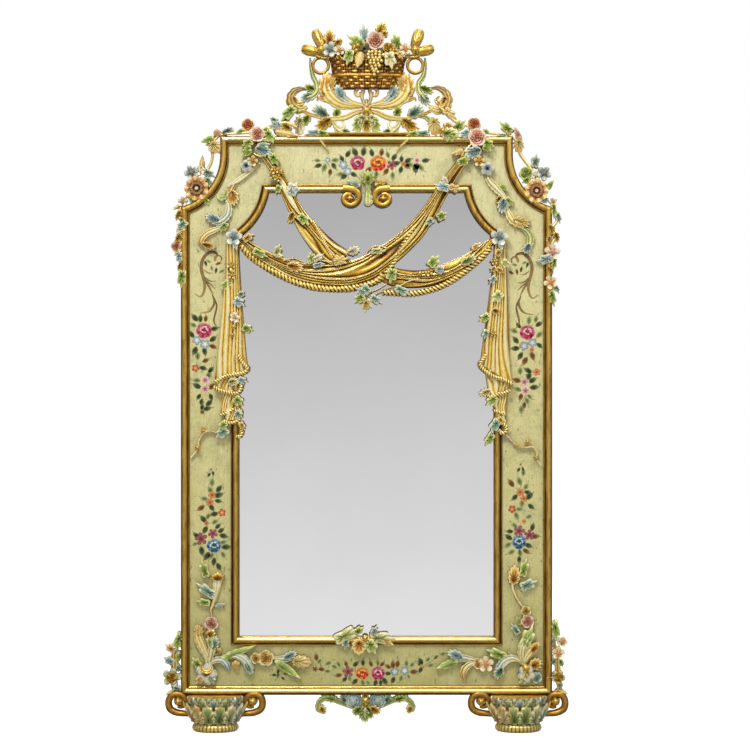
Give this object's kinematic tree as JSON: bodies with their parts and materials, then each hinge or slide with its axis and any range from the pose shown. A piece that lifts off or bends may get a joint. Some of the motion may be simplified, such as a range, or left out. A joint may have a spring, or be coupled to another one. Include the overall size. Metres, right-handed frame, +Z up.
{
  "type": "trumeau mirror",
  "caption": "Tall painted and gilded carved wood mirror frame with a flower-basket crest, swags and drapes over the glass, and scrolled vase feet.",
  "frame": {"origin": "on the floor under the middle of the object, at the centre of its overall width and depth", "axes": "+Z up; the mirror faces -Y and its flat back, which stands against a wall, faces +Y; +X is to the viewer's right"},
  "size_m": [1.141, 0.11, 2.0008],
  "materials": {
    "painted_board": "aged cream-green paint, brushed and speckled",
    "mirror": "silvered plain glass",
    "bare_wood": "unfinished",
    "hanger_steel": "plain",
    "screw_steel": "plain",
    "gilt_moulding": "water gilded, rubbed",
    "gilt_carving": "water gilded, burnished",
    "painted_foot": "painted leaves with gilded scrolls",
    "painted_carving": "polychrome painted carving with gilt edges"
  },
  "bodies": {
    "root": {"stile_left": "painted_board", "stile_right": "painted_board", "shoulder_block_left": "painted_board", "shoulder_block_right": "painted_board", "top_rail": "painted_board", "bottom_rail": "painted_board", "mirror_glass": "mirror", "backing_board": "bare_wood", "batten_left": "bare_wood", "batten_right": "bare_wood", "batten_bottom": "bare_wood", "batten_top": "bare_wood", "hanger_plate_left": "hanger_steel", "hanger_screw_left_low": "screw_steel", "hanger_screw_left_high": "screw_steel", "hanger_plate_right": "hanger_steel", "hanger_screw_right_low": "screw_steel", "hanger_screw_right_high": "screw_steel", "outer_moulding_bottom": "gilt_moulding", "outer_moulding_left": "gilt_moulding", "outer_moulding_right": "gilt_moulding", "outer_moulding_left_cove": "gilt_moulding", "outer_moulding_right_cove": "gilt_moulding", "outer_moulding_top": "gilt_moulding", "inner_moulding_bottom": "gilt_moulding", "inner_moulding_left": "gilt_moulding", "inner_moulding_right": "gilt_moulding", "inner_moulding_left_cove": "gilt_moulding", "inner_moulding_right_cove": "gilt_moulding", "inner_moulding_top_left": "gilt_moulding", "inner_moulding_top_right": "gilt_moulding", "foot_left": "painted_foot", "foot_right": "painted_foot", "swag_blossom_left": "painted_carving", "swag_blossom_right": "painted_carving", "crest_base": "painted_carving", "crest_scroll_left": "painted_carving", "crest_scroll_right": "painted_carving", "basket": "gilt_carving", "basket_bouquet": "painted_carving", "rose_spray_left": "painted_carving", "rose_spray_right": "painted_carving", "front_swag": "gilt_carving", "back_swag_upper": "gilt_carving", "back_swag_lower": "gilt_carving", "drape_left": "gilt_carving", "drape_right": "gilt_carving", "shoulder_acanthus_left": "painted_carving", "shoulder_acanthus_right": "painted_carving", "shoulder_spray_left": "painted_carving", "shoulder_spray_right": "painted_carving", "side_garland_left": "painted_carving", "side_garland_right": "painted_carving", "base_garland_left": "painted_carving", "base_garland_right": "painted_carving", "corner_acanthus_left": "painted_carving", "corner_acanthus_right": "painted_carving", "sill_leaves": "painted_carving", "apron_shell": "painted_carving", "top_tongue": "painted_carving"}
  },
  "joints": []
}
